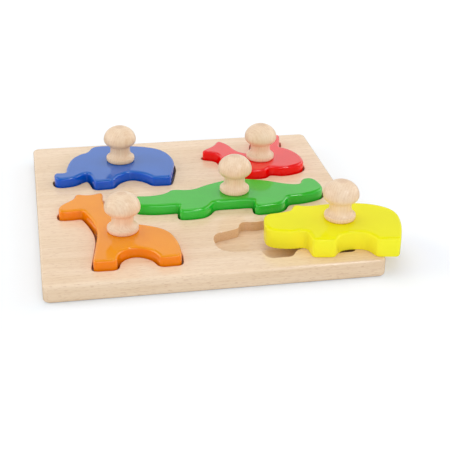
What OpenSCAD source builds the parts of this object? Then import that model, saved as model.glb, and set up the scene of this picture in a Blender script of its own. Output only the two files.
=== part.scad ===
// Wooden peg puzzle: a routed beech board, five thick animals and a turned knob on each animal.
// Millimetres. The origin is the middle of the board's underside, X runs along the front edge and Y to the back.
// Four animals sit in their pockets. The hippo lies on the board, beside and over its empty pocket.

/* [Board] */
// Thickness of the board
board_thickness = 12.5; // [11:0.5:18]
// Radius of the board's four corners, seen from above
board_corner_radius = 5; // [3:0.5:12]
// Radius of the rolled edge round the top
board_top_round = 1.9; // [0.8:0.1:3]
// Radius of the rolled edge round the underside
board_bottom_round = 1.5; // [0.8:0.1:3]

/* [Pockets] */
// Depth of the pockets below the board's top
pocket_depth = 7; // [5:0.5:9]
// Room between an animal and the wall of its pocket
pocket_gap = 1.3; // [0.8:0.1:1.8]

/* [Wood left round the pockets] */
// Between two pockets where they come closest
least_web = 5.7; // [5:0.1:12]
// Between the fish and the crocodile
fish_crocodile_web = 9.9; // [6:0.1:14]
// From the elephant to the left edge
elephant_left_land = 13; // [10:0.1:18]
// From the elephant to the back edge
elephant_back_land = 16.7; // [10:0.1:20]
// From the fish to the right edge
fish_right_land = 16.8; // [10:0.1:20]
// From the fish to the back edge
fish_back_land = 13.5; // [10:0.1:20]
// From the crocodile to the right edge
crocodile_right_land = 15.1; // [10:0.1:20]
// From the giraffe to the left edge
giraffe_left_land = 12.8; // [10:0.1:18]
// From the giraffe to the front edge
giraffe_front_land = 13.8; // [10:0.1:18]
// From the hippo to the right edge
hippo_right_land = 12.4; // [10:0.1:18]
// From the hippo to the front edge
hippo_front_land = 14.4; // [10:0.1:18]

/* [Animals] */
// Thickness of every animal
slab_thickness = 14; // [11:0.5:18]
// Radius of the soft edge round an animal's face
slab_top_round = 2; // [1:0.1:2.6]
// Size of the small chamfer round an animal's underside
slab_bottom_chamfer = 0.5; // [0.3:0.1:1]
// Length of the elephant, along the board's front edge
elephant_length = 92.4; // [85:0.1:100]
// Height of the elephant, across the board
elephant_height = 68.2; // [62:0.1:75]
// Length of the fish
fish_length = 73.9; // [68:0.1:80]
// Height of the fish, from belly to fin
fish_height = 69.8; // [64:0.1:76]
// Length of the crocodile
crocodile_length = 139.4; // [130:0.1:146]
// Height of the crocodile, from feet to back
crocodile_height = 48.4; // [45:0.1:54]
// Length of the giraffe, from nose to tail
giraffe_length = 77.2; // [70:0.1:84]
// Height of the giraffe, from feet to horns
giraffe_height = 103.5; // [96:0.1:108]
// Length of the hippo
hippo_length = 93.2; // [86:0.1:100]
// Height of the hippo
hippo_height = 55.5; // [51:0.1:60]

/* [Hippo lifted out] */
// How far the hippo's knob lies to the right of its place in the pocket
hippo_shift_right = 32.2; // [26:0.1:36]
// How far the hippo's knob lies in front of its place in the pocket
hippo_shift_front = 8.65; // [4:0.05:12]
// Turn of the lying hippo about its knob, clockwise from above
hippo_turn = 8.2; // [0:0.1:12]

/* [Knobs] */
// Height of a knob above its animal's face
knob_height = 27.8; // [22:0.1:32]
// Width of the head at its widest
knob_head_width = 24.6; // [22:0.1:28]
// Height at which the head is widest
knob_head_level = 17.4; // [15:0.1:20]
// Depth of the head's underside below its widest line
knob_head_drop = 6.6; // [4:0.1:8]
// Width of the neck
knob_neck_width = 15; // [12:0.5:17]
// Height of the middle of the neck
knob_neck_level = 9; // [7:0.1:10]
// Width of the flared foot
knob_foot_width = 21.6; // [19:0.1:24]
// Thickness of the foot's round rim
knob_foot_rim = 3.5; // [2.5:0.1:4]
// How far the rim of the foot draws in at its top
knob_foot_roll = 0.35; // [0.2:0.05:0.9]
// How far the rim of the foot draws in at its underside
knob_foot_tuck = 1.3; // [0.6:0.1:1.8]

/* [Joints inside an animal] */
// Width of the round spigot under a knob
spigot_width = 10; // [8:0.5:12]
// Length of the spigot, which is glued in the animal's socket
spigot_length = 5; // [4:0.5:7]
// Glue line between wood and wood, and between wood and screw
glue_line = 0.05; // [0.02:0.01:0.1]
// Length of the screw that comes up from the underside
screw_length = 19; // [16:0.5:22]
// Width of the screw's shank
screw_shank_width = 4; // [3:0.1:4.5]
// Width of the screw's countersunk head
screw_head_width = 8; // [7:0.1:9]
// Height of the screw's countersunk head
screw_head_height = 2.4; // [2:0.1:3]
// How far the screw's head lies inside the underside
screw_sink = 0.3; // [0.1:0.1:0.8]
// Width of the cross-shaped drive in the screw's head
screw_drive_width = 4; // [3:0.1:5]
// Width of one arm of the drive
screw_drive_arm = 1; // [0.6:0.1:1.4]
// Depth of the drive
screw_drive_depth = 1.4; // [0.8:0.1:1.6]

/* [Hidden] */
$fn = 64;

// Length by which a cut runs past the face that it opens
overrun = 1;
// Points round each corner of an animal, and steps in its soft edge
corner_points = 5;
edge_steps = 4;
// Points in each curve of the knob's profile
knob_steps = 8;
// Sides of the rounded posts that the board is drawn over
post_sides = 32;
// Share of a tight corner's radius that the soft edge may use up
tight_corner_share = 0.9;
// Where the two coves of the knob run out: share of the way from the neck to the head's width
cove_top_share = 0.2;
// Share of the neck's level at which the straight part of the neck begins and ends
neck_straight_share = 0.05;
// How far the neck's lower cove has turned outwards where it meets the foot's rim, in degrees
foot_cove_turn = 60;

// Outlines. Each row is a corner: its place along and up the animal's box, and how round it is.
// A roundness of 1 rounds from the middle of one side to the middle of the next. All run clockwise.
elephant_shares = [
    [-0.005, 0.3, 0.85], [0.095, 0.285, 0.5], [0.11, 0.465, 1], [0.155, 0.675, 1],
    [0.235, 0.79, 0.8], [0.295, 0.825, 0.8], [0.35, 1, 0.9], [0.52, 0.995, 1],
    [0.76, 0.93, 1], [0.94, 0.795, 1], [1.015, 0.495, 1], [0.975, 0.23, 1],
    [0.93, 0.005, 0.42], [0.79, 0.015, 0.45], [0.735, 0.13, 1], [0.63, 0.22, 1],
    [0.52, 0.15, 1], [0.46, 0.005, 0.45], [0.315, 0, 0.45], [0.285, 0.245, 1],
    [0.23, 0.23, 1], [0.155, 0.125, 1], [0.01, 0.11, 0.9]
];
fish_shares = [
    [0.195, 0.92, 1], [0.295, 0.79, 1], [0.34, 0.595, 1], [0.405, 0.515, 1],
    [0.495, 0.465, 1], [0.54, 0.745, 0.9], [0.595, 0.99, 0.55], [0.915, 1.005, 0.6],
    [0.875, 0.805, 0.9], [0.83, 0.63, 0.5], [0.94, 0.525, 1], [1.01, 0.315, 1],
    [0.99, 0.115, 1], [0.765, 0.02, 1], [0.61, 0.085, 0.8], [0.54, 0, 0.6],
    [0.36, 0, 0.9], [0.235, 0.13, 1], [0.15, 0.345, 1], [0.135, 0.54, 0.8],
    [-0.055, 0.62, 0.95], [0.125, 0.76, 0.8]
];
crocodile_shares = [
    [0, 0.625, 0.7], [0.09, 0.585, 1], [0.17, 0.65, 1], [0.205, 0.78, 0.9],
    [0.305, 0.7, 1], [0.395, 0.87, 1], [0.545, 1.035, 1], [0.705, 0.92, 1],
    [0.815, 0.715, 1], [0.89, 0.665, 0.8], [0.915, 0.865, 0.9], [0.98, 0.875, 1],
    [1.005, 0.59, 1], [0.99, 0.4, 1], [0.89, 0.28, 1], [0.79, 0.26, 0.5],
    [0.75, 0.05, 0.9], [0.67, 0, 1], [0.6, 0.005, 0.75], [0.61, 0.25, 0.5],
    [0.4, 0.255, 0.4], [0.35, 0.03, 0.95], [0.275, -0.005, 1], [0.21, 0.01, 0.75],
    [0.22, 0.235, 0.5], [0.095, 0.225, 1], [0.005, 0.295, 0.5]
];
giraffe_shares = [
    [0.18, 1.01, 0.85], [0.305, 0.97, 1], [0.44, 1.015, 0.95], [0.42, 0.895, 1],
    [0.45, 0.7, 1], [0.55, 0.52, 1], [0.795, 0.45, 1], [0.955, 0.355, 1],
    [1.005, 0.17, 1], [0.99, 0, 0.5], [0.81, 0, 0.45], [0.76, 0.1, 1],
    [0.615, 0.165, 1], [0.475, 0.11, 1], [0.44, 0, 0.5], [0.24, 0.005, 0.45],
    [0.285, 0.205, 1], [0.33, 0.42, 1], [0.29, 0.6, 1], [0.225, 0.745, 0.5],
    [0.085, 0.735, 0.9], [0.01, 0.745, 0.8], [0.01, 0.835, 1], [0.155, 0.925, 0.9]
];
hippo_shares = [
    [-0.005, 0.465, 1], [0.01, 0.685, 1], [0.12, 0.725, 0.9], [0.21, 0.79, 0.6],
    [0.245, 0.96, 0.9], [0.34, 0.905, 1], [0.5, 0.98, 1], [0.69, 1.01, 1],
    [0.865, 0.955, 1], [0.995, 0.78, 1], [1.005, 0.445, 1], [0.95, 0.005, 0.36],
    [0.79, 0.005, 0.4], [0.735, 0.18, 1], [0.645, 0.205, 1], [0.54, 0.16, 0.9],
    [0.485, 0, 0.42], [0.33, 0, 0.45], [0.3, 0.245, 0.5], [0.155, 0.21, 1],
    [0.02, 0.265, 1]
];
// Places of the knobs, along and up each animal's box
elephant_knob_share = [0.561, 0.537];
fish_knob_share = [0.558, 0.341];
crocodile_knob_share = [0.527, 0.564];
giraffe_knob_share = [0.545, 0.395];
hippo_knob_share = [0.556, 0.561];
// Share of the giraffe's length that its head and neck take, which the crocodile's nose has to clear
giraffe_neck_share = 0.455;

// Room that a pocket takes along one side
function pocket_room(size) = size + 2 * pocket_gap;

// The board is as long as its fullest row or column of pockets needs
right_column = hippo_front_land + pocket_room(hippo_height) + least_web + pocket_room(crocodile_height)
    + fish_crocodile_web + pocket_room(fish_height) + fish_back_land;
left_column = giraffe_front_land + pocket_room(giraffe_height) + least_web + pocket_room(elephant_height)
    + elephant_back_land;
back_row = elephant_left_land + pocket_room(elephant_length) + least_web + pocket_room(fish_length)
    + fish_right_land;
middle_row = giraffe_left_land + pocket_room(giraffe_length * giraffe_neck_share) + least_web
    + pocket_room(crocodile_length) + crocodile_right_land;
front_row = giraffe_left_land + pocket_room(giraffe_length) + least_web + pocket_room(hippo_length)
    + hippo_right_land;
board_side = max(right_column, left_column, back_row, middle_row, front_row);
board_edge = board_side / 2;

// Lower left corner of each animal's box when the animal is in its pocket
elephant_corner = [
    elephant_left_land + pocket_gap - board_edge,
    board_edge - elephant_back_land - pocket_gap - elephant_height
];
fish_corner = [
    board_edge - fish_right_land - pocket_gap - fish_length,
    board_edge - fish_back_land - pocket_gap - fish_height
];
crocodile_corner = [
    board_edge - crocodile_right_land - pocket_gap - crocodile_length,
    fish_corner[1] - pocket_gap - fish_crocodile_web - pocket_gap - crocodile_height
];
giraffe_corner = [
    giraffe_left_land + pocket_gap - board_edge,
    giraffe_front_land + pocket_gap - board_edge
];
hippo_corner = [
    board_edge - hippo_right_land - pocket_gap - hippo_length,
    hippo_front_land + pocket_gap - board_edge
];

// Heights of the pockets' floor and of the screw's tip above an animal's underside
pocket_floor = board_thickness - pocket_depth;
screw_tip = screw_sink + screw_length;

// Corners of one outline, rounded, in millimetres from the box's lower left corner
function outline(shares, length, height) =
    let (count = len(shares), corners = [for (s = shares) [s[0] * length, s[1] * height]])
    [for (i = [0:count - 1], j = [0:corner_points - 1])
        let (
            before = corners[(i + count - 1) % count],
            corner = corners[i],
            after = corners[(i + 1) % count],
            reach = shares[i][2] / 2,
            start = corner + (before - corner) * reach,
            end = corner + (after - corner) * reach,
            t = (j + 0.5) / corner_points
        )
        (1 - t) * (1 - t) * start + 2 * t * (1 - t) * corner + t * t * end];

// Direction in the plane from one point to another
function heading(a, b) = (b - a) / norm(b - a);

// Radius of the circle through three points: positive on an outward corner, and huge where they are in line
function corner_radius(a, b, c) =
    let (bend = (b[1] - a[1]) * (c[0] - b[0]) - (b[0] - a[0]) * (c[1] - b[1]), chord = norm(c - a))
    norm(b - a) * norm(c - b) * chord / (2 * (abs(bend) < chord * chord / 1e6 ? chord * chord / 1e6 : bend));

// The outline moved outwards by a distance, or inwards where it is negative.
// A corner too tight to follow keeps a share of its own radius.
function shifted(points, distance) =
    let (count = len(points))
    [for (i = [0:count - 1])
        let (
            before = points[(i + count - 1) % count],
            point = points[i],
            after = points[(i + 1) % count],
            along = heading(before, point) + heading(point, after),
            outward = [-along[1], along[0]] / norm(along),
            radius = corner_radius(before, point, after),
            most = (radius * distance < 0) ? tight_corner_share * abs(radius) : abs(distance)
        )
        point + outward * sign(distance) * min(abs(distance), most)];

// Each point of an outline lifted to one height
function lifted(points, z) = [for (p = points) [p[0], p[1], z]];

// Which way three points turn, seen from above: below zero is a turn to the right
function turning(a, b, c) = (b[0] - a[0]) * (c[1] - a[1]) - (b[1] - a[1]) * (c[0] - a[0]);

// Whether a point lies in a clockwise triangle
function covers(a, b, c, p) = turning(a, b, p) <= 0 && turning(b, c, p) <= 0 && turning(c, a, p) <= 0;

// Whether the corner at place i of a clockwise ring can be cut off as a triangle that covers no other corner
function is_ear(points, ring, i) =
    let (
        count = len(ring),
        before = ring[(i + count - 1) % count],
        corner = ring[i],
        after = ring[(i + 1) % count],
        a = points[before],
        b = points[corner],
        c = points[after]
    )
    turning(a, b, c) < 0
    && len([
        for (k = ring)
            if (k != before && k != corner && k != after && covers(a, b, c, points[k])) k
    ]) == 0;

// The first such corner from place i on
function first_ear(points, ring, i = 0) =
    (i == len(ring) - 1 || is_ear(points, ring, i)) ? i : first_ear(points, ring, i + 1);

// A flat face with any outline, as triangles: one corner after another is cut off
function face_triangles(points, ring) =
    len(ring) < 3 ? [] :
    let (
        count = len(ring),
        i = first_ear(points, ring),
        ear = [ring[(i + count - 1) % count], ring[i], ring[(i + 1) % count]]
    )
    concat([ear], face_triangles(points, [for (k = [0:count - 1]) if (k != i) ring[k]]));

// A closed solid through a stack of rings that have the same number of points
module lofted(rings) {
    count = len(rings[0]);
    last = len(rings) - 1;
    ring = [for (i = [0:count - 1]) i];
    polyhedron(
        points = [for (points = rings) each points],
        faces = [
            for (t = face_triangles(rings[0], ring)) [t[2], t[1], t[0]],
            for (t = face_triangles(rings[last], ring)) [for (k = t) last * count + k],
            for (r = [0:last - 1], i = ring)
                [(r + 1) * count + i, r * count + i, r * count + (i + 1) % count],
            for (r = [0:last - 1], i = ring)
                [(r + 1) * count + i, r * count + (i + 1) % count, (r + 1) * count + (i + 1) % count]
        ],
        convexity = 8
    );
}

// One animal with its soft edge, the socket for the spigot and the hole for the screw
module slab(shares, length, height, knob_share) {
    points = outline(shares, length, height);
    difference() {
        lofted([
            lifted(shifted(points, -slab_bottom_chamfer), 0),
            lifted(points, slab_bottom_chamfer),
            for (s = [0:edge_steps])
                let (turn = 90 * s / edge_steps)
                lifted(
                    shifted(points, -slab_top_round * (1 - cos(turn))),
                    slab_thickness - slab_top_round * (1 - sin(turn))
                )
        ]);
        translate([knob_share[0] * length, knob_share[1] * height, 0])
            fastening_bore();
    }
}

// The stepped hole through an animal: a seat for the screw's head, its shank's hole and the spigot's socket
module fastening_bore() {
    head = screw_head_width / 2 + glue_line;
    shank = screw_shank_width / 2 + glue_line;
    socket = spigot_width / 2 + glue_line;
    socket_floor = slab_thickness - spigot_length - glue_line;
    rotate_extrude()
        polygon([
            [0, -overrun],
            [head, -overrun],
            [head, screw_sink],
            [shank, screw_sink + screw_head_height],
            [shank, socket_floor],
            [socket, socket_floor],
            [socket, slab_thickness + overrun],
            [0, slab_thickness + overrun]
        ]);
}

// Half of the knob's profile from the foot's underside to the top of the dome
function knob_profile() =
    let (
        head = knob_head_width / 2,
        neck = knob_neck_width / 2,
        foot = knob_foot_width / 2,
        rim = foot - knob_foot_roll,
        cove = neck + (head - neck) * cove_top_share,
        cove_turn = acos(cove / head),
        cove_level = knob_head_level - knob_head_drop * sin(cove_turn),
        straight = knob_neck_level * neck_straight_share,
        low = knob_neck_level - straight,
        high = knob_neck_level + straight
    )
    [
        [0, 0],
        for (s = [0:knob_steps])
            let (turn = 180 * s / knob_steps)
            let (set_in = turn < 90 ? knob_foot_tuck : knob_foot_roll)
            [foot - set_in * (1 - sin(turn)), knob_foot_rim * (1 - cos(turn)) / 2],
        for (s = [1:knob_steps])
            let (turn = foot_cove_turn * (1 - s / knob_steps))
            [
                neck + (rim - neck) * (1 - cos(turn)) / (1 - cos(foot_cove_turn)),
                low - (low - knob_foot_rim) * sin(turn) / sin(foot_cove_turn)
            ],
        for (s = [0:knob_steps - 1])
            let (turn = 90 * s / knob_steps)
            [cove - (cove - neck) * cos(turn), high + (cove_level - high) * sin(turn)],
        for (s = [0:knob_steps - 1])
            let (turn = -cove_turn * (1 - s / knob_steps))
            [head * cos(turn), knob_head_level + knob_head_drop * sin(turn)],
        for (s = [0:knob_steps - 1])
            let (turn = 90 * s / knob_steps)
            [head * cos(turn), knob_head_level + (knob_height - knob_head_level) * sin(turn)],
        [0, knob_height]
    ];

// One turned knob, standing on the plane z = 0, with its spigot below and a blind hole for the screw
module knob() {
    difference() {
        union() {
            rotate_extrude()
                polygon(knob_profile());
            translate([0, 0, -spigot_length])
                cylinder(d = spigot_width, h = spigot_length + knob_foot_rim / 2);
        }
        translate([0, 0, -spigot_length - overrun])
            cylinder(
                d = screw_shank_width + 2 * glue_line,
                h = overrun + spigot_length + screw_tip - slab_thickness + glue_line
            );
    }
}

// One countersunk wood screw, with its head at the bottom and the cross-shaped drive in it
module screw() {
    difference() {
        union() {
            cylinder(d1 = screw_head_width, d2 = screw_shank_width, h = screw_head_height);
            cylinder(d = screw_shank_width, h = screw_length - screw_shank_width);
            translate([0, 0, screw_length - screw_shank_width])
                cylinder(d1 = screw_shank_width, d2 = 0, h = screw_shank_width);
        }
        for (turn = [0, 90])
            rotate([0, 0, turn])
                translate([-screw_drive_width / 2, -screw_drive_arm / 2, -overrun])
                    cube([screw_drive_width, screw_drive_arm, screw_drive_depth + overrun]);
    }
}

// Puts an animal's parts at its pocket, on the pocket's floor
module in_pocket(corner) {
    translate([corner[0], corner[1], pocket_floor])
        children();
}

// Puts the hippo's parts on top of the board, turned about the knob
module on_board() {
    middle = [hippo_knob_share[0] * hippo_length, hippo_knob_share[1] * hippo_height];
    place = hippo_corner + middle + [hippo_shift_right, -hippo_shift_front];
    translate([place[0], place[1], board_thickness])
        rotate([0, 0, -hippo_turn])
            translate([-middle[0], -middle[1], 0])
                children();
}

// Puts a knob on an animal's face
module on_slab(length, height, share) {
    translate([share[0] * length, share[1] * height, slab_thickness])
        knob();
}

// Puts a screw in an animal's underside
module under_slab(length, height, share) {
    translate([share[0] * length, share[1] * height, screw_sink])
        screw();
}

// One round corner post of the board, with both rolled edges
module corner_post() {
    top_inset = board_corner_radius - board_top_round;
    bottom_inset = board_corner_radius - board_bottom_round;
    rotate_extrude($fn = post_sides)
        polygon([
            [0, 0],
            for (s = [0:edge_steps])
                let (turn = 90 * s / edge_steps)
                [
                    bottom_inset + board_bottom_round * sin(turn),
                    board_bottom_round * (1 - cos(turn))
                ],
            for (s = [0:edge_steps])
                let (turn = 90 * s / edge_steps)
                [
                    top_inset + board_top_round * cos(turn),
                    board_thickness - board_top_round * (1 - sin(turn))
                ],
            [0, board_thickness]
        ]);
}

// One pocket: the animal's outline with room all round
module pocket(shares, length, height, corner) {
    translate([corner[0], corner[1], pocket_floor])
        linear_extrude(height = pocket_depth + overrun, convexity = 8)
            polygon(shifted(outline(shares, length, height), pocket_gap));
}

module board() {
    reach = board_edge - board_corner_radius;
    color("burlywood")
        difference() {
            hull()
                for (x = [-reach, reach], y = [-reach, reach])
                    translate([x, y, 0])
                        corner_post();
            pocket(elephant_shares, elephant_length, elephant_height, elephant_corner);
            pocket(fish_shares, fish_length, fish_height, fish_corner);
            pocket(crocodile_shares, crocodile_length, crocodile_height, crocodile_corner);
            pocket(giraffe_shares, giraffe_length, giraffe_height, giraffe_corner);
            pocket(hippo_shares, hippo_length, hippo_height, hippo_corner);
        }
}

module elephant_slab() {
    color("royalblue")
        in_pocket(elephant_corner)
            slab(elephant_shares, elephant_length, elephant_height, elephant_knob_share);
}

module elephant_knob() {
    color("wheat")
        in_pocket(elephant_corner)
            on_slab(elephant_length, elephant_height, elephant_knob_share);
}

module elephant_screw() {
    color("silver")
        in_pocket(elephant_corner)
            under_slab(elephant_length, elephant_height, elephant_knob_share);
}

module fish_slab() {
    color("red")
        in_pocket(fish_corner)
            slab(fish_shares, fish_length, fish_height, fish_knob_share);
}

module fish_knob() {
    color("wheat")
        in_pocket(fish_corner)
            on_slab(fish_length, fish_height, fish_knob_share);
}

module fish_screw() {
    color("silver")
        in_pocket(fish_corner)
            under_slab(fish_length, fish_height, fish_knob_share);
}

module crocodile_slab() {
    color("limegreen")
        in_pocket(crocodile_corner)
            slab(crocodile_shares, crocodile_length, crocodile_height, crocodile_knob_share);
}

module crocodile_knob() {
    color("wheat")
        in_pocket(crocodile_corner)
            on_slab(crocodile_length, crocodile_height, crocodile_knob_share);
}

module crocodile_screw() {
    color("silver")
        in_pocket(crocodile_corner)
            under_slab(crocodile_length, crocodile_height, crocodile_knob_share);
}

module giraffe_slab() {
    color("darkorange")
        in_pocket(giraffe_corner)
            slab(giraffe_shares, giraffe_length, giraffe_height, giraffe_knob_share);
}

module giraffe_knob() {
    color("wheat")
        in_pocket(giraffe_corner)
            on_slab(giraffe_length, giraffe_height, giraffe_knob_share);
}

module giraffe_screw() {
    color("silver")
        in_pocket(giraffe_corner)
            under_slab(giraffe_length, giraffe_height, giraffe_knob_share);
}

module hippo_slab() {
    color("yellow")
        on_board()
            slab(hippo_shares, hippo_length, hippo_height, hippo_knob_share);
}

module hippo_knob() {
    color("wheat")
        on_board()
            on_slab(hippo_length, hippo_height, hippo_knob_share);
}

module hippo_screw() {
    color("silver")
        on_board()
            under_slab(hippo_length, hippo_height, hippo_knob_share);
}

board();
elephant_slab();
elephant_knob();
elephant_screw();
fish_slab();
fish_knob();
fish_screw();
crocodile_slab();
crocodile_knob();
crocodile_screw();
giraffe_slab();
giraffe_knob();
giraffe_screw();
hippo_slab();
hippo_knob();
hippo_screw();
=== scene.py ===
"""The looks of a wooden peg puzzle: a routed beech board, five lacquered animals and their turned knobs.

Lengths in the classes are millimetres, as a toy maker's drawing gives them, and meshes are in metres.
"""

import logging
import math
from dataclasses import dataclass
from enum import Enum

import bmesh
import bpy
from mathutils import Matrix, Vector


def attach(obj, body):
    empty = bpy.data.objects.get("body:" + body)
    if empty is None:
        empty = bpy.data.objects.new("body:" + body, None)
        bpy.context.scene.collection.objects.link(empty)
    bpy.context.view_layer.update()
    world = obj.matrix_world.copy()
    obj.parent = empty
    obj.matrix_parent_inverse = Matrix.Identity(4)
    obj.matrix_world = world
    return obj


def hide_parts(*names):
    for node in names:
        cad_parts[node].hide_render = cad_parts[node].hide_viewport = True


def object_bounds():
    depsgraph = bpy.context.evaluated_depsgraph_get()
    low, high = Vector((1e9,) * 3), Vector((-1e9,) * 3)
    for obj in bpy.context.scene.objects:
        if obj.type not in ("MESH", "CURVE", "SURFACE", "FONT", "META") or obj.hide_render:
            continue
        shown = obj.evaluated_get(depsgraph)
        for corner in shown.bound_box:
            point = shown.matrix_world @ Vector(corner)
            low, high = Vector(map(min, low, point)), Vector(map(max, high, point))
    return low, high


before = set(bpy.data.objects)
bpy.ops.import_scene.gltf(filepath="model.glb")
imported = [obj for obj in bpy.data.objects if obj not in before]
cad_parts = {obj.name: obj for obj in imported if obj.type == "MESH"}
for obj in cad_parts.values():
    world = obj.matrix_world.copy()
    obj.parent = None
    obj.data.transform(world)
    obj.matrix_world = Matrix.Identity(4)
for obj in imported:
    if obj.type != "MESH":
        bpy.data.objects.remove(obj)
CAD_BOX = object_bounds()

log = logging.getLogger("peg_puzzle")

MM = 0.001
SHARP_ANGLE = math.radians(38)
FLAT_NORMAL = 0.99999  # the upright part of the normal of a face that counts as flat
MERGE_DISTANCE = 1e-7
POLE_MERGE_DISTANCE = 1e-6
STRAIGHT_RATIO = 1e6  # past this ratio of length to bend, a corner counts as straight

# The curve between display values and linear ones.
DISPLAY_STEPS = 255
DISPLAY_KNEE = 0.04045
DISPLAY_SLOPE = 12.92
DISPLAY_OFFSET = 0.055
DISPLAY_POWER = 2.4

Mesh = bmesh.types.BMesh
Edges = list[bmesh.types.BMEdge]
Socket = bpy.types.NodeSocket
Outline = list[Vector]
Pair = tuple[float, float]
Range = tuple[float, float]
Place = tuple[float, float, float]
Colour = tuple[float, float, float]

WHITE: Colour = (1.0, 1.0, 1.0)


class Grain(Enum):
    """The direction in which the fibres of a piece of wood run."""

    ALONG_X = (0.0, 0.0, 0.0)
    ALONG_Z = (0.0, math.radians(90), 0.0)

    @property
    def axis(self) -> str:
        """Names the axis that the fibres follow."""
        return "X" if self is Grain.ALONG_X else "Z"


class Species(Enum):
    """The animals of the set, in the order in which they are made."""

    ELEPHANT = "elephant"
    FISH = "fish"
    CROCODILE = "crocodile"
    GIRAFFE = "giraffe"
    HIPPO = "hippo"


def rgb(hex_colour: str) -> Colour:
    """Turns a display colour into the linear values that a shader takes.

    Args:
        hex_colour: Six hexadecimal digits, red first.

    Returns:
        The linear red, green and blue.
    """
    values = [int(hex_colour[i : i + 2], 16) / DISPLAY_STEPS for i in (0, 2, 4)]
    red, green, blue = (
        v / DISPLAY_SLOPE
        if v <= DISPLAY_KNEE
        else ((v + DISPLAY_OFFSET) / (1 + DISPLAY_OFFSET)) ** DISPLAY_POWER
        for v in values
    )
    return (red, green, blue)


def quarter_turn(steps: int) -> list[float]:
    """Splits a right angle into equal steps, in radians from 0 to the full quarter."""
    return [math.radians(90 * step / steps) for step in range(steps + 1)]


def corner_radius(before: Vector, point: Vector, after: Vector) -> float:
    """Measures how tightly an outline turns at one of its points.

    Args:
        before: The point before it.
        point: The point itself.
        after: The point after it.

    Returns:
        The radius of the circle through the three: positive where the outline bulges outwards.
    """
    first, second, chord = point - before, after - point, after - before
    bend = first.y * second.x - first.x * second.y
    least = chord.length_squared / STRAIGHT_RATIO
    if abs(bend) < least:
        bend = least
    return first.length * second.length * chord.length / (2 * bend)


def shifted(outline: Outline, distance: float, keep: float = 0.9) -> Outline:
    """Moves an outline outwards, or inwards where the distance is negative.

    Args:
        outline: The points of a closed outline, clockwise from above.
        distance: How far each point moves along its normal.
        keep: The share of a tight corner's own radius that the move may use up.

    Returns:
        The moved points, as many as there were.
    """
    moved = []
    for i, point in enumerate(outline):
        before, after = outline[i - 1], outline[(i + 1) % len(outline)]
        along = (point - before).normalized() + (after - point).normalized()
        outward = Vector((-along.y, along.x)).normalized()
        radius = corner_radius(before, point, after)
        most = keep * abs(radius) if radius * distance < 0 else abs(distance)
        moved.append(point + outward * math.copysign(min(abs(distance), most), distance))
    return moved


def circle(radius: float, centre: Vector, steps: int = 64) -> Outline:
    """Gives the points of a circle, clockwise from above."""
    turns = [-2 * math.pi * i / steps for i in range(steps)]
    return [centre + Vector((math.cos(t), math.sin(t))) * radius for t in turns]


def add_ring(bm: Mesh, outline: Outline, z: float) -> Edges:
    """Adds a closed loop of edges to a mesh.

    Args:
        bm: The mesh in the making.
        outline: The loop's points, in millimetres.
        z: The height of the loop, in millimetres.

    Returns:
        The edges of the loop.
    """
    points = [bm.verts.new((p.x * MM, p.y * MM, z * MM)) for p in outline]
    return [bm.edges.new((points[i - 1], point)) for i, point in enumerate(points)]


def add_wall(bm: Mesh, levels: list[tuple[Outline, float]]) -> tuple[Edges, Edges]:
    """Lofts a wall through a stack of loops.

    Args:
        bm: The mesh in the making.
        levels: Each loop's outline and height.

    Returns:
        The edges of the first loop and of the last one, which are still open.
    """
    rings = [add_ring(bm, outline, z) for outline, z in levels]
    for lower, upper in zip(rings, rings[1:]):
        bmesh.ops.bridge_loops(bm, edges=lower + upper)
    return rings[0], rings[-1]


def fill_flat(bm: Mesh, *rings: Edges) -> None:
    """Closes a flat face between an outer loop and the holes in it."""
    edges = [edge for ring in rings for edge in ring]
    bmesh.ops.triangle_fill(bm, use_beauty=True, use_dissolve=False, edges=edges)


def finished(bm: Mesh, name: str) -> bpy.types.Object:
    """Turns a mesh in the making into a smooth-shaded object with crisp creases and truly flat flats.

    Args:
        bm: The mesh, which is freed.
        name: The object's name.

    Returns:
        The object, at the origin, with its place in its mesh.
    """
    bmesh.ops.remove_doubles(bm, verts=bm.verts, dist=MERGE_DISTANCE)
    bmesh.ops.recalc_face_normals(bm, faces=bm.faces)
    for face in bm.faces:
        face.smooth = abs(face.normal.z) < FLAT_NORMAL
    for edge in bm.edges:
        edge.smooth = len(edge.link_faces) == 2 and edge.calc_face_angle(0.0) < SHARP_ANGLE
    mesh = bpy.data.meshes.new(name)
    bm.to_mesh(mesh)
    bm.free()
    piece = bpy.data.objects.new(name, mesh)
    bpy.context.scene.collection.objects.link(piece)
    return piece


def dressed(
    bm: Mesh, name: str, body: str, node: str, material: bpy.types.Material
) -> bpy.types.Object:
    """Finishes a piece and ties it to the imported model.

    Args:
        bm: The piece's mesh.
        name: The piece's name.
        body: The body that it rides on.
        node: The solid that it stands for.
        material: Its material.

    Returns:
        The piece's object.
    """
    piece = finished(bm, name)
    piece.data.materials.append(material)
    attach(piece, body)
    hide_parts(node)
    return piece


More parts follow.
